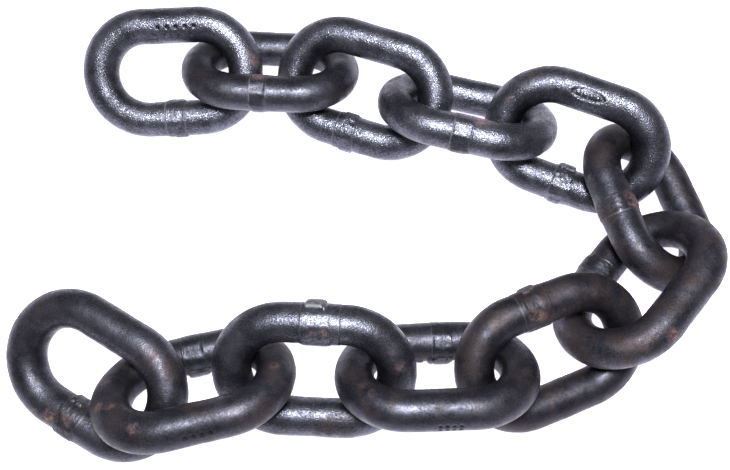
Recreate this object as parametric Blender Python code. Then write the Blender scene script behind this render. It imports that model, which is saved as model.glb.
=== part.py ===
"""A short length of heavy welded iron chain, laid on the floor in a flat horseshoe.

Run it with: blender --background --python part.py
Metres, +Z up. The origin is in the middle of the chain's footprint, on the floor.

Each link is one closed loop of round bar, butt welded in the middle of one leg. Every link but
the first hooks into the one before it, crown against crown, and two neighbours stand about square
to each other. So each link leans over to one side and rests on its lower leg.
"""

import bpy
import numpy as np
from math import cos, pi, radians, sin
from mathutils import Matrix, Vector

# Driving dimensions, in metres
BAR_DIAMETER = 0.016
PITCH = 0.050             # inside length of a link, from crown to crown
INNER_WIDTH = 0.026       # inside width of a link, from leg to leg
CLEARANCE = 0.0004        # gap kept where one round bar bears on the next
WELD_LENGTH = 0.011       # swollen band where the bar's two ends were forged together
WELD_EDGE = 0.0016        # length of the slope at each end of that band
WELD_SWELL = 1.05         # thickness of the band over the bar's

# Worked out from them
BAR_RADIUS = BAR_DIAMETER / 2
CROWN_RADIUS = (INNER_WIDTH + BAR_DIAMETER) / 2     # of the bar's middle line
HALF_LEG = (PITCH - INNER_WIDTH) / 2                # half the straight part of a leg

# Fineness of a link: flats round the bar, and steps along a crown
BAR_SIDES = 12
CROWN_STEPS = 12
HALF_SIDE_ANGLE = pi / BAR_SIDES                    # from a corner of the bar to the next flat
FLAT_RADIUS = BAR_RADIUS * cos(HALF_SIDE_ANGLE)     # from the bar's middle line to a flat

# How each link lies, from the free end at the upper left round to the one at the lower left.
# heading: which way it points along the chain, in degrees from +X
# roll: how far it leans, in degrees; a plus lifts the leg on its left
# pull: which way it draws the next link out until the two bear, in degrees from +X
# weld: the leg with its weld, 1 for the left one and -1 for the right one
LAY = [
    dict(heading=3, roll=33, pull=6, weld=-1),
    dict(heading=-3, roll=-29, pull=-20, weld=-1),
    dict(heading=-19, roll=37, pull=-14, weld=-1),
    dict(heading=-14, roll=-36, pull=-17, weld=-1),
    dict(heading=-22, roll=44, pull=-39, weld=-1),
    dict(heading=-74, roll=-29, pull=-110, weld=-1),
    dict(heading=-131, roll=41, pull=-144, weld=-1),
    dict(heading=-158, roll=-36, pull=-170, weld=-1),
    dict(heading=-178, roll=38, pull=-182, weld=-1),
    dict(heading=-183, roll=-42, pull=-170, weld=-1),
    dict(heading=-167, roll=37, pull=-186, weld=-1),
    dict(heading=-211, roll=-30, pull=None, weld=1),
]
ROOT = 5                  # the link in the middle, counted from 0, which carries the others

# Where the search for two links' bearing starts and ends, as shares of the inside width
HOOKED = 0.68
DRAWN_OUT = 1.10
SEARCH_STEPS = 24
ARC_SAMPLES = 150         # samples of a bar's middle line along a crown, for that search

IRON = (0.050, 0.046, 0.048, 1.0)     # oiled, nearly black mill scale
ROUGHNESS = 0.42
METALLIC = 0.85


def remove_everything():
    for item in list(bpy.data.objects):
        bpy.data.objects.remove(item, do_unlink=True)


def new_collection(name):
    collection = bpy.data.collections.new(name)
    bpy.context.scene.collection.children.link(collection)
    return collection


def iron_material(name):
    material = bpy.data.materials.new(name)
    material.use_nodes = True
    shader = material.node_tree.nodes["Principled BSDF"]
    shader.inputs["Base Color"].default_value = IRON
    shader.inputs["Roughness"].default_value = ROUGHNESS
    shader.inputs["Metallic"].default_value = METALLIC
    return material


def crown(end, steps):
    """The middle line of a half-round crown; end is 1 for the front one, -1 for the rear one."""
    turns = np.linspace(-pi / 2, pi / 2, steps + 1)
    return [Vector((end * (HALF_LEG + CROWN_RADIUS * cos(a)), end * CROWN_RADIUS * sin(a), 0))
            for a in turns]


def leg(side, welded):
    """Stations between the ends of a leg, with the bar's thickness there; side is 1 on the left."""
    if welded:
        edge = WELD_LENGTH / 2
        top = edge - WELD_EDGE
        stations = [(edge, 1.0), (top, WELD_SWELL), (-top, WELD_SWELL), (-edge, 1.0)]
    else:
        stations = [(0.0, 1.0)]
    return [(Vector((side * x, side * CROWN_RADIUS, 0)), thickness) for x, thickness in stations]


def link_stations(weld):
    """The bar's middle line right round a link that lies flat, with its thickness."""
    front = [(point, 1.0) for point in crown(1, CROWN_STEPS)]
    rear = [(point, 1.0) for point in crown(-1, CROWN_STEPS)]
    return front + leg(1, weld == 1) + rear + leg(-1, weld == -1)


def attitude(row):
    return Matrix.Rotation(radians(row["heading"]), 3, "Z") @ Matrix.Rotation(radians(row["roll"]), 3, "X")


def height(row):
    """Height of a link's middle when its lower leg rests on the floor."""
    lower_leg = -1 if row["roll"] > 0 else 1
    swell = WELD_SWELL if row["weld"] == lower_leg else 1.0
    return CROWN_RADIUS * abs(sin(radians(row["roll"]))) + FLAT_RADIUS * swell


def flat_turn(row):
    """Turn of the bar's section that lays one of its flats on the floor under the lower leg."""
    side_angle = 2 * HALF_SIDE_ANGLE
    lean = abs(radians(row["roll"])) % side_angle
    return HALF_SIDE_ANGLE - lean


def direction(degrees):
    return Vector((cos(radians(degrees)), sin(radians(degrees)), 0))


def middle_line(row, centre):
    """Samples of a placed link's middle line, as an array."""
    spacing = pi * CROWN_RADIUS / ARC_SAMPLES
    straight = np.arange(-HALF_LEG, HALF_LEG, spacing)
    points = crown(1, ARC_SAMPLES) + crown(-1, ARC_SAMPLES)
    points += [Vector((x, side * CROWN_RADIUS, 0)) for side in (1, -1) for x in straight]
    turn = attitude(row)
    return np.array([turn @ point + centre for point in points])


def nearest(line, other):
    """The shortest distance between two middle lines."""
    return np.linalg.norm(line[:, None] - other[None], axis=2).min()


def seat(row, centre, following):
    """Centre of the following link, drawn out of this one until their bars bear."""
    front = centre + direction(row["heading"]) * HALF_LEG
    line = middle_line(row, centre)

    def drawn_out(distance):
        rear = front + direction(row["pull"]) * distance
        place = rear + direction(following["heading"]) * HALF_LEG
        place.z = height(following)
        return place

    clear = HOOKED * INNER_WIDTH
    stopped = DRAWN_OUT * INNER_WIDTH
    for _ in range(SEARCH_STEPS):
        distance = (clear + stopped) / 2
        if nearest(line, middle_line(following, drawn_out(distance))) > BAR_DIAMETER + CLEARANCE:
            clear = distance
        else:
            stopped = distance
    return drawn_out(clear)


def lay_out(rows):
    """The centre of every link."""
    centres = [Vector((0, 0, height(rows[0])))]
    for row, following in zip(rows, rows[1:]):
        centres.append(seat(row, centres[-1], following))
    return centres


def hook(rows, centres, k):
    """The middle of the hook between link k and the next one, halfway between their two crowns."""
    front = centres[k] + direction(rows[k]["heading"]) * HALF_LEG
    rear = centres[k + 1] - direction(rows[k + 1]["heading"]) * HALF_LEG
    return (front + rear) / 2


def make_link(name, row, centre, pivot, collection):
    """One link of round bar, with its object's origin at its pivot."""
    turn = attitude(row)
    offset = turn.inverted() @ (centre - pivot)
    stations = link_stations(row["weld"])
    curve = bpy.data.curves.new(name, "CURVE")
    curve.dimensions = "3D"
    curve.twist_mode = "Z_UP"
    curve.bevel_depth = BAR_RADIUS
    curve.bevel_resolution = (BAR_SIDES - 4) // 2
    spline = curve.splines.new("POLY")
    spline.points.add(len(stations) - 1)
    spline.use_cyclic_u = True
    for point, (place, thickness) in zip(spline.points, stations):
        point.co = (*(place + offset), 1)
        point.radius = thickness
        point.tilt = flat_turn(row)
    curve.materials.append(iron_material(f"{name}_iron"))
    link = bpy.data.objects.new(name, curve)
    link.matrix_world = Matrix.Translation(pivot) @ turn.to_4x4()
    collection.objects.link(link)
    return link


def hang(child, parent):
    """Let a link follow its neighbour without moving it."""
    child.parent = parent
    child.matrix_parent_inverse = parent.matrix_world.inverted()


def centre_footprint(root, links):
    """Move the whole chain so that the middle of its footprint is over the origin."""
    depsgraph = bpy.context.evaluated_depsgraph_get()
    corners = []
    for link in links:
        solid = link.evaluated_get(depsgraph)
        corners += [link.matrix_world @ vertex.co for vertex in solid.to_mesh().vertices]
        solid.to_mesh_clear()
    corners = np.array(corners)
    middle = (corners.min(axis=0) + corners.max(axis=0)) / 2
    root.location -= Vector((middle[0], middle[1], 0))


def build():
    remove_everything()
    collection = new_collection("iron_chain")
    centres = lay_out(LAY)
    hooks = [hook(LAY, centres, k) for k in range(len(LAY) - 1)]
    # a link turns in its hook with the neighbour on the root's side, and the root's origin is its middle
    pivots = hooks[:ROOT] + [centres[ROOT]] + hooks[ROOT:]
    links = []
    for k, (row, centre, pivot) in enumerate(zip(LAY, centres, pivots)):
        links.append(make_link(f"link_{k + 1:02d}", row, centre, pivot, collection))
    bpy.context.view_layer.update()
    for k in range(len(links)):
        if k < ROOT:
            hang(links[k], links[k + 1])
        elif k > ROOT:
            hang(links[k], links[k - 1])
    bpy.context.view_layer.update()
    centre_footprint(links[ROOT], links)
    bpy.context.view_layer.update()


build()
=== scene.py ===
"""The looks of a short length of heavy welded iron chain, laid in a flat horseshoe.

Every link is a loop of round bar, forged and butt welded, with dark oiled mill scale on it. One
plain link is modelled lying flat. Each of the twelve gets its own copy, with the trimmed band of
its own weld, and is then laid over the solid that it dresses.
"""

from math import atan2, cos, exp, pi, radians, sin

import bpy
import numpy as np
from mathutils import Matrix, Vector, noise


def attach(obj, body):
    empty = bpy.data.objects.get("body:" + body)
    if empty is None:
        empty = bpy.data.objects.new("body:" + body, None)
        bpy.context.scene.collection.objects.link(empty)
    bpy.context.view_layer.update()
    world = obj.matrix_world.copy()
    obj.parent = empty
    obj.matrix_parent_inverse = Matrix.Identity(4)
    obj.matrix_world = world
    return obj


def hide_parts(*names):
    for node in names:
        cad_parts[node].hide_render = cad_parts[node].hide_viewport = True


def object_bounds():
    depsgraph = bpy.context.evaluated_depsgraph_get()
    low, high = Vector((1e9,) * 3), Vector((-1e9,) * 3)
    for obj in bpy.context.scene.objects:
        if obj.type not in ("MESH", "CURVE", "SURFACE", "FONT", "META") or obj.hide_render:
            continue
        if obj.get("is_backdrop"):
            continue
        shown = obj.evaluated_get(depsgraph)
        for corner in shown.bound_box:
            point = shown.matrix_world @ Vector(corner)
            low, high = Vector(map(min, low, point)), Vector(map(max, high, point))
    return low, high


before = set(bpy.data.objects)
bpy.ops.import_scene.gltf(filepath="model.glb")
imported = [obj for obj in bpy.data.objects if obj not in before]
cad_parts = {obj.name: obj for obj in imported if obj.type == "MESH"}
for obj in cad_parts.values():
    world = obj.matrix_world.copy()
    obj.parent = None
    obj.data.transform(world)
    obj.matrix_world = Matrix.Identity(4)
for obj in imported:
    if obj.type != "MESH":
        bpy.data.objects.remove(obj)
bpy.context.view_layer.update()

# The link, in metres
BAR_DIAMETER = 0.016
PITCH = 0.050                 # inside length, from crown to crown
INNER_WIDTH = 0.026           # inside width, from leg to leg
BAR_RADIUS = BAR_DIAMETER / 2
CROWN_RADIUS = (INNER_WIDTH + BAR_DIAMETER) / 2
HALF_LEG = (PITCH - INNER_WIDTH) / 2

# Fineness of the link's first mesh, which one subdivision makes twice as fine
BAR_SIDES = 44
CROWN_STEPS = 72
LEG_STEPS = 36
WELD_STEPS = 48

# Where the hot ends were pushed together the bar swells gently
UPSET_RISE = 0.022            # over the bar's thickness
UPSET_REACH = 0.0085

# Each weld, in millimetres and degrees. Along a leg, x is 0 in the middle. Round the bar, 0 is the
# link's outer side, 90 its upper face and 180 its inner side.
# middle, half: the trimmed band's middle and half its length; rise: how far it stands proud
# rough: how uneven it is; tone: how much more it has browned than the bar
# paleness of its two edges, part rubbing wear and part painted highlight, at the lower and the
# higher x
# flats: (around, distance from the bar's middle line, from x, to x)
# lumps: (around, half spread, from x, to x, height, paleness: part rubbing wear and part painted
# highlight)
WELDS = {
    "link_01": dict(middle=0.2, half=4.4, rise=0.28, rough=0.4, tone=0.32, worn_and_highlit=(0.80, 0.35),
                    flats=[(100, 8.16, -3.8, 3.8), (55, 8.14, -3.8, 3.8)],
                    lumps=[(190, 40, -3.6, 4.2, 0.55, 0), (10, 30, -0.8, 4.4, 0.50, 0)]),
    "link_02": dict(middle=-2.3, half=3.6, rise=0.10, rough=0.3, tone=0.12, worn_and_highlit=(0.55, 0.15),
                    flats=[(4, 7.72, -5.6, 1.0), (46, 7.95, -5.6, 1.0), (98, 7.80, -5.0, 0.8)],
                    lumps=[(-48, 24, -5.0, 0.6, 0.45, 0)]),
    "link_03": dict(middle=-2.6, half=4.6, rise=0.28, rough=0.5, tone=0.24, worn_and_highlit=(0.6, 0.25),
                    flats=[(60, 8.10, -6.5, 1.5)],
                    lumps=[(172, 36, -4.8, 1.2, 0.80, 0.1), (12, 30, -3.8, 1.8, 0.70, 0)]),
    "link_04": dict(middle=0.0, half=4.3, rise=0.14, rough=0.25, tone=0.20, worn_and_highlit=(0.6, 0.1),
                    flats=[(-6, 7.64, -3.8, 3.8), (38, 7.74, -3.9, 4.0)],
                    lumps=[(-54, 22, -3.5, 3.0, 0.40, 0)]),
    "link_05": dict(middle=1.0, half=4.4, rise=0.22, rough=0.4, tone=0.00, worn_and_highlit=(0.45, 0.15),
                    flats=[(126, 7.96, -3.2, 5.0), (80, 8.10, -3.0, 5.0)],
                    lumps=[(198, 34, -2.4, 5.2, 1.60, 0.75), (18, 30, -2.6, 3.4, 0.75, 0)]),
    "link_06": dict(middle=0.5, half=3.9, rise=0.10, rough=0.5, tone=0.14, worn_and_highlit=(0.1, 0.3),
                    flats=[(78, 7.85, -3.2, 3.4), (24, 7.95, -3.4, 3.8)],
                    lumps=[(140, 26, -3.0, 2.6, 0.45, 0), (-30, 26, -2.6, 3.4, 0.35, 0)]),
    "link_07": dict(middle=0.2, half=4.2, rise=0.12, rough=0.5, tone=0.00, worn_and_highlit=(0.1, 0.1),
                    flats=[(138, 7.86, -3.6, 3.6), (95, 8.00, -3.6, 3.6)],
                    lumps=[(50, 30, -3.2, 3.4, 0.45, 0)]),
    "link_08": dict(middle=2.9, half=6.0, rise=0.12, rough=0.3, tone=0.10, worn_and_highlit=(0.10, 0.20),
                    flats=[(84, 7.78, 0.6, 6.4), (54, 7.92, 1.0, 6.8)],
                    lumps=[(-14, 26, -0.8, 5.4, 0.85, 0.4), (176, 32, -2.5, 7.6, 0.60, 0.1)]),
    "link_09": dict(middle=-3.4, half=3.9, rise=0.08, rough=0.4, tone=-0.22, worn_and_highlit=(0.1, 0.2),
                    flats=[(146, 7.84, -7.0, 0.0), (104, 7.95, -7.0, 0.2)],
                    lumps=[(230, 30, -7.8, 2.4, 1.35, 0.45), (238, 24, 3.9, 7.0, 0.60, 0.2)]),
    "link_10": dict(middle=-2.2, half=7.6, rise=0.20, rough=0.25, tone=-0.20, worn_and_highlit=(0.25, 0.25),
                    flats=[(58, 8.06, -5.8, 5.0), (92, 7.98, -6.0, 1.6)],
                    lumps=[(-20, 38, -4.4, 3.8, 1.55, 0.72), (156, 46, -6.6, 5.0, 0.60, 0)]),
    "link_11": dict(middle=-1.2, half=4.6, rise=0.10, rough=0.35, tone=-0.22, worn_and_highlit=(0.1, 0.1),
                    flats=[(132, 7.86, -5.0, 2.6)],
                    lumps=[(228, 32, -6.0, 3.2, 1.35, 0.25)]),
    "link_12": dict(middle=0.0, half=4.8, rise=0.12, rough=0.5, tone=0.10, worn_and_highlit=(0.15, 0.1),
                    flats=[(88, 7.94, -4.4, 3.6)],
                    lumps=[(188, 30, -4.4, 1.6, 1.05, 0.25), (20, 34, -4.4, 3.6, 0.65, 0)]),
}
FLATTENED = 0.08              # what is left of the bar's height over a flat

# A lump of flash rises in two slopes, each a share of its height that draws its outline in
LUMP_SLOPES = ((0.6, 0.92), (0.4, 0.84))
HIGH_LUMP = 1.5               # in millimetres; a lump over this is rounded more
ROUNDINGS, MORE_ROUNDINGS = 3, 10
RAGGED = 0.5                  # how far a rough weld's lumps stray from their outline
WAVES_AROUND = 2.6            # how fast its ends wander round the bar, for each radian
WAVES_ALONG = 700             # how fast its sides wander along the bar, for each metre

# How far the scale of each link has browned, and how bright it still is, from 0 to 1
BROWNED = dict(link_01=0.10, link_02=0.28, link_03=0.18, link_04=0.20, link_05=0.18, link_06=0.50,
               link_07=0.50, link_08=0.56, link_09=0.36, link_10=0.30, link_11=0.42, link_12=0.36)
BRIGHT = dict(link_01=1.0, link_02=0.42, link_03=1.0, link_04=0.90, link_05=0.92, link_06=0.32,
              link_07=0.45, link_08=0.06, link_09=0.20, link_10=0.62, link_11=0.20, link_12=0.40)
BROWNED_CROWN = 0.14          # more on the outside of the crowns
BROWN_SHADE_TURNED_AWAY = 0.22       # more on the side that faces this way, turned from the lamp: painted shade
SIDE_FROM_LAMP = (-0.35, 0.94, 0)
CROWN_FADE = 0.014            # how far into a crown its ageing comes in
# Darker inside the crowns, where the next link hooks through, and in the marks: part dirt, part
# painted shade
DIRT_AND_SHADE_IN_CROWN = 0.8
DIRT_AND_SHADE_IN_MARKS = 1.6
RUBBED_AND_LIT_EDGE = 0.00030         # half the width of a paler edge: rubbing wear and painted highlight
RUBBED_AND_LIT_PAST = 0.0005          # how far past the ends of a lump the paleness reaches
RUBBED_AND_LIT_ASIDE = 12             # and past its sides, in degrees
FAINTEST = 0.004              # weights under this are left out

# Freckles and patches of rust: their place on the link (x along the legs, y across, z square to
# it, the weld at -y) and their radius, in millimetres
RUST = {
    "link_01": [(38.4, 3.6, 5.7, 2.4), (36.0, 7.0, 6.5, 1.6)],
    "link_02": [(-2.0, -20.4, 7.9, 3.0), (-5.8, -19.0, 7.7, 2.2), (2.0, -18.6, 7.5, 1.8)],
    "link_03": [(-36.0, -4.0, 5.5, 2.0)],
    "link_04": [(7.2, -21.4, 7.9, 3.0), (2.6, -20.2, 7.9, 2.2), (11.0, -19.6, 7.8, 1.8)],
    "link_05": [(-33.0, 10.0, 7.0, 1.6)],
    "link_06": [(1.0, -19.5, 7.9, 3.0), (-2.0, -21.5, 7.9, 1.8), (-14.0, -20.0, 7.9, 1.6)],
    "link_07": [(16.3, 28.6, 1.0, 2.6), (26.0, 22.0, 3.0, 2.0)],
    "link_08": [(5.2, -21.8, 7.9, 2.0), (2.4, -20.2, 7.9, 2.2), (-21.0, -21.0, 7.6, 1.3),
                (-8.0, -19.0, 7.9, 1.2)],
    "link_09": [(26.5, 19.0, 7.5, 1.5), (30.0, 14.5, 7.5, 1.2), (-36.0, 3.0, 6.0, 1.4)],
    "link_10": [(-3.6, -20.6, 8.0, 1.8), (0.4, -20.2, 8.0, 1.6), (-34.0, -8.0, 7.0, 1.8),
                (-30.0, -14.0, 7.0, 1.3)],
    "link_11": [(33.7, -5.9, 7.9, 1.8), (35.5, 7.8, 7.0, 2.0), (30.6, 9.4, 8.0, 2.0),
                (21.5, 23.6, 6.6, 2.0), (-33.0, 8.0, 7.0, 1.8)],
    "link_12": [(-6.9, -22.1, 7.9, 2.8), (0.2, -19.2, 7.8, 2.2), (-14.0, -24.0, 7.0, 1.6)],
}
FULL_RUST = 2.6               # radius of a patch at its full strength; a smaller one is fainter

# Where the trimmed flash of a weld has cracked like dried mud: (from x, to x, around, half spread)
CRACKED = {"link_05": (-3.4, 5.2, 128, 26), "link_03": (-1.6, 1.6, 150, 24)}

# Plain marks punched into the leg at +y, in millimetres and degrees
# dots: (x, around); pad: (x, around) of a shallow oval's middle, half its length, half its width
MARKS = {
    "link_01": dict(dots=[(x, 98) for x in (-4.0, 0.0, 4.0, 8.0, 12.0)]),
    "link_05": dict(dots=[(x, 83) for x in (-6.4, -3.6, -0.8, 2.0)], pad=(-2.2, 83, 7.4, 2.7)),
    "link_09": dict(dots=[(x, around) for x in (-6.4, -3.8, -1.2, 1.4) for around in (-10, -27)]),
    "link_11": dict(dots=[(x, 8) for x in (-6.0, -2.8, 0.4, 3.6)]),
}
PUNCH_RADIUS = 0.0008
PUNCH_DEPTH = 0.00055
PAD_SHARE = 0.8               # depth of the pad over the punch's
RAISED_SHARE = 0.8            # how far the dots on the pad stand up from its floor

# Relief of the skin: how wide its bumps are, and how high
FORGED_SIZE, FORGED_HEIGHT = 0.010, 0.00035
SCALE_SIZE, SCALE_HEIGHT = 0.0018, 0.00009
WELD_SIZE, WELD_HEIGHT = 0.0016, 0.0006
CRACK_SIZE, CRACK_DEPTH = 0.0021, 0.00034
SMOOTHED_UNDER = radians(50)

# No two welds are rough in the same way
LINK_SEED = 1.31
LUMP_SEED = 0.7

# The camera, over the near side
CAMERA_TARGET = Vector((-0.0034, -0.0004, 0))
CAMERA_DISTANCE = 0.3884
CAMERA_ELEVATION = radians(68.31)
CAMERA_LENS = 42.56
CAMERA_NEAR = 0.01            # nothing nearer than this shows

# The white floor, the soft lamp just over the camera, and the dim room round them
FLOOR_SIZE = 60
FLOOR_DROP = 0.00005          # under the chain's lowest point
FLOOR_COLOUR = (0.5, 0.5, 0.52, 1)
FLOOR_GLOW = (1.05, 1, 1.25, 1)
LAMP_PLACE = Vector((0.0, -0.09, 0.60))
LAMP_SIZE = 0.12
LAMP_POWER = 10.0
LAMP_COLOUR = (0.94, 0.96, 1.0)
ROOM_COLOUR = (0.95, 0.88, 1.0, 1)
ROOM_BRIGHTNESS = 0.34


def deselect():
    bpy.ops.object.select_all(action="DESELECT")


def work_on(piece):
    deselect()
    piece.select_set(True)
    bpy.context.view_layer.objects.active = piece


def apply_modifier(piece, kind, **values):
    work_on(piece)
    bpy.ops.object.modifier_add(type=kind)
    modifier = piece.modifiers[-1]
    for key, value in values.items():
        setattr(modifier, key, value)
    bpy.ops.object.modifier_apply(modifier=modifier.name)


def swollen(x):
    """Thickness of the bar over its usual one, at a distance along the leg from the weld."""
    return 1 + UPSET_RISE * exp(-(x / UPSET_REACH) ** 2)


def draw_leg(start, end, side, steps, thickness):
    """Extrudes the selected ring along a leg, from one x to another, and swells it as told."""
    places = np.linspace(start, end, steps + 1)
    for here, there in zip(places, places[1:]):
        bpy.ops.mesh.extrude_region_move(TRANSFORM_OT_translate={"value": (there - here, 0, 0)})
        growth = thickness(there) / thickness(here)
        bpy.ops.transform.resize(value=(1, growth, growth),
                                 center_override=(there, side * CROWN_RADIUS, 0))


def bend_crown(end):
    """Spins the selected ring through half a turn, about a crown's middle."""
    bpy.ops.mesh.spin(steps=CROWN_STEPS, angle=pi, center=(end * HALF_LEG, 0, 0), axis=(0, 0, -1))


def plain_link():
    """A link that lies flat, its legs along X and the one for the weld at -Y."""
    deselect()
    bpy.ops.mesh.primitive_circle_add(vertices=BAR_SIDES, radius=BAR_RADIUS,
                                      location=(-HALF_LEG, -CROWN_RADIUS, 0),
                                      rotation=(0, pi / 2, 0))
    link = bpy.context.object
    link.name = "plain_link"
    bpy.ops.object.transform_apply(location=True, rotation=True, scale=True)
    bpy.ops.object.mode_set(mode="EDIT")
    bpy.ops.mesh.select_mode(type="EDGE")
    bpy.ops.mesh.select_all(action="SELECT")
    draw_leg(-HALF_LEG, HALF_LEG, -1, WELD_STEPS, swollen)
    bend_crown(1)
    draw_leg(HALF_LEG, -HALF_LEG, 1, LEG_STEPS, lambda x: 1.0)
    bend_crown(-1)
    bpy.ops.mesh.select_all(action="SELECT")
    bpy.ops.mesh.remove_doubles(threshold=1e-5)
    bpy.ops.mesh.normals_make_consistent(inside=False)
    bpy.ops.object.mode_set(mode="OBJECT")
    return link


def select_nothing(piece, kind):
    """Leaves the piece in object mode, with its mesh ready for a selection of this kind."""
    work_on(piece)
    bpy.ops.object.mode_set(mode="EDIT")
    bpy.ops.mesh.select_mode(type=kind)
    bpy.ops.mesh.select_all(action="DESELECT")
    bpy.ops.object.mode_set(mode="OBJECT")


def select_faces(piece, wanted):
    """Leaves the piece in edit mode, with the faces selected whose middle the test wants."""
    select_nothing(piece, "FACE")
    for face in piece.data.polygons:
        face.select = wanted(face.center)
    bpy.ops.object.mode_set(mode="EDIT")


def around_weld_leg(place):
    """The angle round the weld's leg: 0 on the link's outer side, 90 on its upper face."""
    return atan2(place.z, -(place.y + CROWN_RADIUS))


def apart(one, other):
    """The angle between two directions round the bar."""
    return abs((one - other + pi) % (2 * pi) - pi)


def past_band(x, weld):
    """How far past the ends of the weld's band an x lies, and less than 0 on the band."""
    return abs(x - weld["middle"] / 1000) - weld["half"] / 1000


def raise_band(link, weld):
    """Raises the weld's band by its rise, with a step at each end."""
    select_faces(link, lambda place: place.y < 0 and past_band(place.x, weld) < 0)
    rise = weld["rise"] / 1000
    bpy.ops.mesh.extrude_region_shrink_fatten(TRANSFORM_OT_shrink_fatten={"value": rise})
    bpy.ops.object.mode_set(mode="OBJECT")


def turn_over(link, angle):
    """Turns a link about its own long axis."""
    work_on(link)
    link.rotation_euler = (angle, 0, 0)
    bpy.ops.object.transform_apply(location=True, rotation=True, scale=True)


def trim_flat(link, around, distance, start, end):
    """Trims one side of the weld flat, at a distance from the bar's middle line."""
    turn = radians(around) - pi / 2
    turn_over(link, turn)
    leg_y, leg_z = -CROWN_RADIUS * cos(turn), -CROWN_RADIUS * sin(turn)
    cut = leg_z + distance / 1000
    select_nothing(link, "VERT")
    for vertex in link.data.vertices:
        place = vertex.co
        vertex.select = (start / 1000 < place.x < end / 1000
                         and abs(place.y - leg_y) < BAR_RADIUS
                         and cut < place.z < cut + BAR_RADIUS / 2)
    bpy.ops.object.mode_set(mode="EDIT")
    bpy.ops.transform.resize(value=(1, 1, FLATTENED), center_override=(0, 0, cut))
    bpy.ops.object.mode_set(mode="OBJECT")
    turn_over(link, -turn)


def raise_lump(link, lump, ragged, seed):
    """Leaves a trimmed lump of flash on the weld."""
    around, spread, start, end, height, _ = lump
    middle = radians(around)
    halfway, reach = (start + end) / 2000, (end - start) / 2000

    def stray(value, layer):
        return 1 + RAGGED * ragged * noise.noise(Vector((value, seed, layer)))

    def under_lump(place):
        angle = around_weld_leg(place)
        return (place.y <= 0
                and abs(place.x - halfway) < reach * stray(angle * WAVES_AROUND, 0.5)
                and apart(angle, middle) < radians(spread) * stray(place.x * WAVES_ALONG, 1.5))

    select_faces(link, under_lump)
    top = BAR_RADIUS + height / 1000
    over = (halfway, -CROWN_RADIUS - top * cos(middle), top * sin(middle))
    for share, narrower in LUMP_SLOPES:
        rise = share * height / 1000
        bpy.ops.mesh.extrude_region_shrink_fatten(TRANSFORM_OT_shrink_fatten={"value": rise})
        bpy.ops.transform.resize(value=(narrower,) * 3, center_override=over)
    roundings = MORE_ROUNDINGS if height > HIGH_LUMP else ROUNDINGS
    bpy.ops.mesh.vertices_smooth(factor=0.5, repeat=roundings)
    bpy.ops.object.mode_set(mode="OBJECT")


def forge_weld(link, weld, seed):
    raise_band(link, weld)
    for number, lump in enumerate(weld["lumps"]):
        raise_lump(link, lump, weld["rough"], seed + number * LUMP_SEED)
    for flat in weld["flats"]:
        trim_flat(link, *flat)


def lie_of(node):
    """Where the frame has a link: its middle and its own axes, X along the legs, weld at -Y."""
    points = np.array([vertex.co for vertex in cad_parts[node].data.vertices])
    points = np.unique(points.round(6), axis=0)
    mean = points.mean(axis=0)
    _, _, axes = np.linalg.svd(points - mean)
    square = Vector(axes[2])
    if square.z < 0:
        square.negate()
    across = Vector(axes[1])
    along = across.cross(square)

    def middle_of(some, axis):
        reach = some @ np.array(axis)
        return (reach.min() + reach.max()) / 2

    # one leg is swollen at its weld, so the middle across the link is taken off the weld
    middle_along = middle_of(points, along)
    off_weld = points[abs(points @ np.array(along) - middle_along) > BAR_RADIUS]
    middle = (along * middle_along + across * middle_of(off_weld, across)
              + square * middle_of(points, square))
    # the weld has more of the solid's corners, so their mean lies on its side
    if (Vector(mean) - middle).dot(across) > 0:
        across.negate()
        along.negate()
    turn = Matrix((along, across, square)).transposed()
    return Matrix.Translation(middle) @ turn.to_4x4()


def rounded_step(value, low, high):
    share = np.clip((value - low) / (high - low), 0, 1)
    return share * share * (3 - 2 * share)


def bar_sides(local):
    """Each vertex's angle round the bar: 0 outer, half a turn inner, the upper face between."""
    over_crown = np.sign(local[:, 0]) * np.maximum(abs(local[:, 0]) - HALF_LEG, 0)
    outward = np.hypot(over_crown, local[:, 1]) - CROWN_RADIUS
    return np.arctan2(local[:, 2], outward)


def on_band(local, weld, inside, outside):
    """1 on the weld's band, and 0 off it; it fades between these distances past its ends."""
    share = 1 - rounded_step(past_band(local[:, 0], weld), inside, outside)
    return np.where(local[:, 1] < 0, share, 0)


def cracked(patch, local):
    """How far inside a cracked patch each vertex is, from 0 to 1."""
    start, end, around, spread = patch
    past_end = abs(local[:, 0] * 1000 - (start + end) / 2) - (end - start) / 2
    aside = np.degrees(apart(bar_sides(local), radians(around))) - spread
    inside = (1 - rounded_step(past_end, -0.6, 0.2)) * (1 - rounded_step(aside, -5, 3))
    return np.where(local[:, 1] < 0, inside, 0)


def on_marked_leg(x, around):
    """A place on the surface of the leg at +y."""
    across = CROWN_RADIUS + BAR_RADIUS * cos(radians(around))
    return np.array((x / 1000, across, BAR_RADIUS * sin(radians(around))))


def punched(marks, local):
    """How deep each vertex is punched in, from 0 to 1."""
    dots = np.zeros(len(local))
    for x, around in marks["dots"]:
        far = np.linalg.norm(local - on_marked_leg(x, around), axis=1)
        dots = np.maximum(dots, 1 - rounded_step(far, PUNCH_RADIUS * 0.5, PUNCH_RADIUS * 1.4))
    if "pad" not in marks:
        return dots
    x, around, half_length, half_width = marks["pad"]
    place = on_marked_leg(x, around)
    along = (local[:, 0] - place[0]) * 1000 / half_length
    aside = np.hypot(local[:, 1] - place[1], local[:, 2] - place[2]) * 1000 / half_width
    pad = 1 - rounded_step(np.hypot(along, aside), 0.92, 1.06)
    return PAD_SHARE * np.clip(pad - RAISED_SHARE * dots, 0, 1)


def rusted(patches, local):
    """How far each vertex has rusted."""
    rusty = np.zeros(len(local))
    for x, y, z, radius in patches:
        far = np.linalg.norm(local * 1000 - (x, y, z), axis=1)
        full = (radius / FULL_RUST) ** 1.5
        rusty = np.maximum(rusty, full * (1 - rounded_step(far, radius * 0.4, radius * 1.7)))
    return rusty


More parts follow.
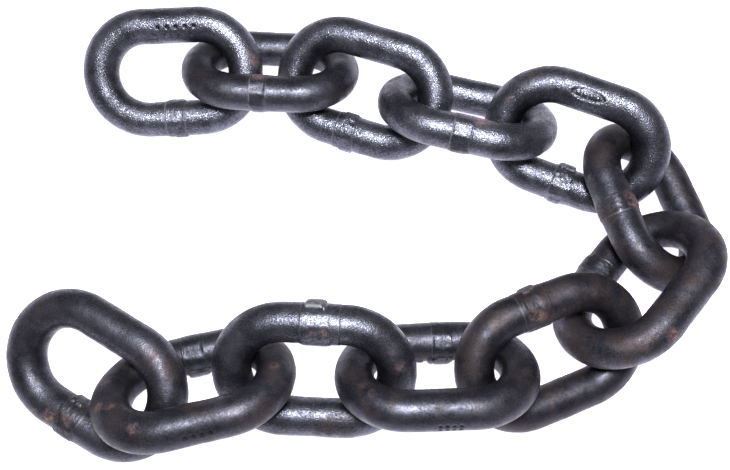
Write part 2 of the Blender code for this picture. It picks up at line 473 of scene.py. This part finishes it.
def rubbed_and_highlit(weld, side, local):
    """How much paler each vertex is, at the edges of the weld's band and on its lumps: part
    rubbing wear, part painted highlight.
    """
    worn_and_highlit = np.zeros(len(local))
    for end, share in zip((-1, 1), weld["worn_and_highlit"]):
        edge = (weld["middle"] + end * weld["half"]) / 1000
        worn_and_highlit = np.maximum(worn_and_highlit, share * np.exp(-((local[:, 0] - edge) / RUBBED_AND_LIT_EDGE) ** 2))
    bar_middle = np.hypot(local[:, 1] + CROWN_RADIUS, local[:, 2])
    for around, spread, start, end, height, pale_wear_and_highlight in weld["lumps"]:
        on_lump = ((apart(side, radians(around)) < radians(spread + RUBBED_AND_LIT_ASIDE))
                   & (local[:, 0] > start / 1000 - RUBBED_AND_LIT_PAST)
                   & (local[:, 0] < end / 1000 + RUBBED_AND_LIT_PAST))
        foot, top = (BAR_RADIUS + share * height / 1000 for share in (0.15, 0.5))
        worn_and_highlit = np.maximum(worn_and_highlit, pale_wear_and_highlight * on_lump * rounded_step(bar_middle, foot, top))
    return np.where(local[:, 1] < 0, worn_and_highlit, 0)


def paint_group(piece, name, weights):
    """A vertex group with these weights, one for each vertex."""
    group = piece.vertex_groups.new(name=name)
    for index in np.nonzero(weights > FAINTEST)[0]:
        group.add([int(index)], float(min(weights[index], 1)), "REPLACE")


def paint(piece, name, values):
    """A named value at every vertex, for the material."""
    layer = piece.data.attributes.new(name, "FLOAT", "POINT")
    layer.data.foreach_set("value", np.clip(values, 0, 1).astype(np.float32))


def ageing(link, node, local):
    """Paints the link's brown tone, brightness, dirt, rust and wear, with painted shade turned
    from the lamp, inside the crowns and in the marks, and painted highlight on the weld's paler
    edges and lumps.
    """
    side = bar_sides(local)
    on_crown = rounded_step(abs(local[:, 0]), HALF_LEG, HALF_LEG + CROWN_FADE)
    outer = (1 + np.cos(side)) / 2
    facing = np.array([vertex.normal for vertex in link.data.vertices])
    # Faces turned from the lamp get more brown tone: painted shade
    turned_from_lamp = np.clip(facing @ np.array(SIDE_FROM_LAMP), 0, 1)
    weld = WELDS[node]
    paint(link, "browned_and_shaded", BROWNED[node] + BROWNED_CROWN * on_crown * outer
          + BROWN_SHADE_TURNED_AWAY * turned_from_lamp + weld["tone"] * on_band(local, weld, -0.0002, 0.0004))
    paint(link, "bright", np.full(len(local), BRIGHT[node]))
    # Darker inside the crowns and in the marks: part dirt, part painted shade
    dirt_and_shade = DIRT_AND_SHADE_IN_CROWN * on_crown * rounded_step(1 - outer, 0.35, 0.85)
    if node in MARKS:
        dirt_and_shade = np.maximum(dirt_and_shade, DIRT_AND_SHADE_IN_MARKS * punched(MARKS[node], local))
    paint(link, "dirt_and_shade", dirt_and_shade)
    paint(link, "rusty", rusted(RUST[node], local))
    # Paler weld edges and lump tops: part rubbing wear, part painted highlight
    paint(link, "worn_and_highlit", rubbed_and_highlit(weld, side, local))


def relief(name, kind, size, **values):
    texture = bpy.data.textures.new(name, kind)
    texture.noise_scale = size
    for key, value in values.items():
        setattr(texture, key, value)
    return texture


def emboss(link, texture, height, level=0.5, group=""):
    """Gives a link's skin a texture's relief; the texture's level is the skin's own height."""
    apply_modifier(link, "DISPLACE", texture=texture, texture_coords="GLOBAL", strength=height,
                   mid_level=level, vertex_group=group)


def dressed_link(blank, node, seed):
    """One finished link, with its own weld, laid over its solid."""
    link = blank.copy()
    link.data = blank.data.copy()
    link.name = f"dressed_{node}"
    bpy.context.scene.collection.objects.link(link)
    weld = WELDS[node]
    forge_weld(link, weld, seed)
    apply_modifier(link, "SUBSURF", levels=1, render_levels=1)

    local = np.array([vertex.co for vertex in link.data.vertices])
    paint_group(link, "weld", on_band(local, weld, -0.001, 0.001) * weld["rough"])
    if node in CRACKED:
        paint_group(link, "cracked", cracked(CRACKED[node], local))
    if node in MARKS:
        paint_group(link, "punched", punched(MARKS[node], local))
        apply_modifier(link, "DISPLACE", strength=-PUNCH_DEPTH, mid_level=0.0,
                       vertex_group="punched")

    link.matrix_world = lie_of(node)
    work_on(link)
    bpy.ops.object.transform_apply(location=True, rotation=True, scale=True)
    ageing(link, node, local)
    emboss(link, FORGING, FORGED_HEIGHT)
    emboss(link, SCALE, SCALE_HEIGHT)
    emboss(link, ROUGH_WELD, WELD_HEIGHT, group="weld")
    if node in CRACKED:
        emboss(link, CRACKS, CRACK_DEPTH, level=1.0, group="cracked")
    bpy.ops.object.shade_smooth_by_angle(angle=SMOOTHED_UNDER)
    return link


def iron_material():
    """Oiled, nearly black mill scale that has browned and rusted in places."""
    material = bpy.data.materials.new("oiled_mill_scale")
    material.use_nodes = True
    tree = material.node_tree
    shader = tree.nodes["Principled BSDF"]
    place = tree.nodes.new("ShaderNodeTexCoord")

    def feed(socket, value):
        """Links a socket to another one, or sets it to a plain number or colour."""
        if isinstance(value, bpy.types.NodeSocket):
            tree.links.new(value, socket)
        else:
            socket.default_value = (*value, 1) if isinstance(value, tuple) else value

    def noise_at(scale, detail, roughness):
        node = tree.nodes.new("ShaderNodeTexNoise")
        node.inputs["Scale"].default_value = scale
        node.inputs["Detail"].default_value = detail
        node.inputs["Roughness"].default_value = roughness
        feed(node.inputs["Vector"], place.outputs["Object"])
        return node.outputs["Fac"]

    def painted(name):
        node = tree.nodes.new("ShaderNodeAttribute")
        node.attribute_name = name
        return node.outputs["Fac"]

    def maths(operation, *values):
        node = tree.nodes.new("ShaderNodeMath")
        node.operation = operation
        for socket, value in zip(node.inputs, values):
            feed(socket, value)
        return node.outputs[0]

    def spread(value, low, high, start=0.0, end=1.0):
        """The value's range from low to high, spread over start to end."""
        node = tree.nodes.new("ShaderNodeMapRange")
        feed(node.inputs["Value"], value)
        for name, bound in (("From Min", low), ("From Max", high), ("To Min", start),
                            ("To Max", end)):
            feed(node.inputs[name], bound)
        return node.outputs["Result"]

    def mix(share, one, other):
        """From one colour to the other."""
        node = tree.nodes.new("ShaderNodeMix")
        node.data_type = "RGBA"
        for number, value in ((0, share), (6, one), (7, other)):
            feed(node.inputs[number], value)
        return node.outputs[2]

    def blend(share, one, other):
        """From one number to the other."""
        node = tree.nodes.new("ShaderNodeMix")
        node.data_type = "FLOAT"
        for number, value in ((0, share), (2, one), (3, other)):
            feed(node.inputs[number], value)
        return node.outputs[0]

    patches = noise_at(95, 5, 0.6)
    grain = noise_at(1300, 3, 0.6)
    drift = noise_at(230, 4, 0.6)
    cloudy = noise_at(75, 3, 0.55)
    bright = painted("bright")
    # The brown tone carries painted shade on the side turned from the lamp
    browning_and_shade = maths("ADD", painted("browned_and_shaded"), spread(patches, 0.3, 0.7, -0.45, 0.45))
    browned_and_shaded = spread(browning_and_shade, 0.45, 0.85)
    rusting = maths("MULTIPLY", painted("rusty"), spread(noise_at(420, 5, 0.75), 0.40, 0.58))
    # Paler weld edges and lumps: part rubbing wear, part painted highlight
    worn_and_highlit = maths("MULTIPLY", painted("worn_and_highlit"), spread(drift, 0.32, 0.52))
    # Darker inside the crowns and in the marks: part dirt, part painted shade
    dirtied_and_shaded = maths("MULTIPLY", painted("dirt_and_shade"), spread(patches, 0.3, 0.6))
    mottled = maths("ADD", grain, spread(cloudy, 0.3, 0.7, -0.16, 0.16))
    uneven = spread(mottled, 0.26, 0.74)
    speckled = spread(mottled, 0.34, 0.66)

    dull_black = mix(uneven, (0.017, 0.017, 0.021), (0.034, 0.033, 0.042))
    bright_black = mix(speckled, (0.030, 0.031, 0.040), (0.115, 0.116, 0.140))
    brown = mix(uneven, (0.021, 0.016, 0.016), (0.047, 0.037, 0.038))
    rust = mix(uneven, (0.050, 0.024, 0.017), (0.165, 0.088, 0.067))
    # Near black for dirt and painted shade in hollows
    shade_and_dirt_black = (0.010, 0.009, 0.010)
    # Pale grey for rubbing wear and painted highlight
    pale_wear_and_highlight = (0.105, 0.101, 0.105)
    black = mix(bright, dull_black, bright_black)
    scale = mix(dirtied_and_shaded, mix(browned_and_shaded, black, brown), shade_and_dirt_black)
    feed(shader.inputs["Base Color"], mix(worn_and_highlit, mix(rusting, scale, rust), pale_wear_and_highlight))

    sparkle = maths("MULTIPLY", bright, spread(grain, 0.36, 0.64, 0.12, -0.10))
    bright_gloss = spread(drift, 0.3, 0.7, 0.25, 0.43)
    dull_gloss = spread(drift, 0.3, 0.7, 0.38, 0.54)
    black_gloss = maths("ADD", blend(bright, dull_gloss, bright_gloss), sparkle)
    brown_gloss = spread(drift, 0.3, 0.7, 0.50, 0.66)
    matt = maths("MAXIMUM", rusting, worn_and_highlit)
    gloss = blend(browned_and_shaded, black_gloss, brown_gloss)
    feed(shader.inputs["Roughness"], blend(matt, gloss, 0.68))
    feed(shader.inputs["Metallic"], blend(matt, blend(browned_and_shaded, 0.92, 0.80), 0.15))

    fine = tree.nodes.new("ShaderNodeBump")
    feed(fine.inputs["Strength"], blend(bright, 0.05, 1.0))
    fine.inputs["Distance"].default_value = 0.00021
    feed(fine.inputs["Height"], noise_at(1850, 2, 0.5))
    feed(shader.inputs["Normal"], fine.outputs["Normal"])
    return material


def floor():
    deselect()
    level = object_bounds()[0].z - FLOOR_DROP
    bpy.ops.mesh.primitive_plane_add(size=FLOOR_SIZE, location=(0, 0, level))
    plane = bpy.context.object
    plane.name = "floor"
    material = bpy.data.materials.new("white_floor")
    material.use_nodes = True
    shader = material.node_tree.nodes["Principled BSDF"]
    shader.inputs["Base Color"].default_value = FLOOR_COLOUR
    shader.inputs["Roughness"].default_value = 0.9
    shader.inputs["Specular IOR Level"].default_value = 0.1
    shader.inputs["Emission Color"].default_value = FLOOR_GLOW
    shader.inputs["Emission Strength"].default_value = 1.0
    plane.data.materials.append(material)
    plane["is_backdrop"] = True


def studio():
    """A dim room, with a soft lamp just over the camera."""
    world = bpy.data.worlds.new("dim_room")
    bpy.context.scene.world = world
    world.use_nodes = True
    background = world.node_tree.nodes["Background"]
    background.inputs["Color"].default_value = ROOM_COLOUR
    background.inputs["Strength"].default_value = ROOM_BRIGHTNESS
    deselect()
    bpy.ops.object.light_add(type="AREA", location=LAMP_PLACE)
    lamp = bpy.context.object
    lamp.name = "lamp_by_the_camera"
    lamp.rotation_euler = (-LAMP_PLACE).to_track_quat("-Z", "Y").to_euler()
    lamp.data.shape = "DISK"
    lamp.data.size = LAMP_SIZE
    lamp.data.energy = LAMP_POWER
    lamp.data.color = LAMP_COLOUR
    bpy.context.scene.view_settings.view_transform = "Standard"


def camera():
    deselect()
    back = Vector((0, -cos(CAMERA_ELEVATION), sin(CAMERA_ELEVATION)))
    bpy.ops.object.camera_add(location=CAMERA_TARGET + back * CAMERA_DISTANCE)
    view = bpy.context.object
    view.rotation_euler = (-back).to_track_quat("-Z", "Y").to_euler()
    view.data.lens = CAMERA_LENS
    view.data.clip_start = CAMERA_NEAR
    bpy.context.scene.camera = view


FORGING = relief("uneven_forging", "CLOUDS", FORGED_SIZE, noise_depth=1)
SCALE = relief("mill_scale", "CLOUDS", SCALE_SIZE, noise_depth=3)
ROUGH_WELD = relief("rough_weld", "CLOUDS", WELD_SIZE, noise_depth=2)
CRACKS = relief("cracked_flash", "VORONOI", CRACK_SIZE, weight_1=-1, weight_2=1,
                noise_intensity=1.6)

camera()
iron = iron_material()
blank = plain_link()
for number, node in enumerate(sorted(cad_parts)):
    piece = dressed_link(blank, node, seed=number * LINK_SEED)
    piece.data.materials.clear()
    piece.data.materials.append(iron)
    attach(piece, node)
    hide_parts(node)
bpy.data.objects.remove(blank)
floor()
studio()
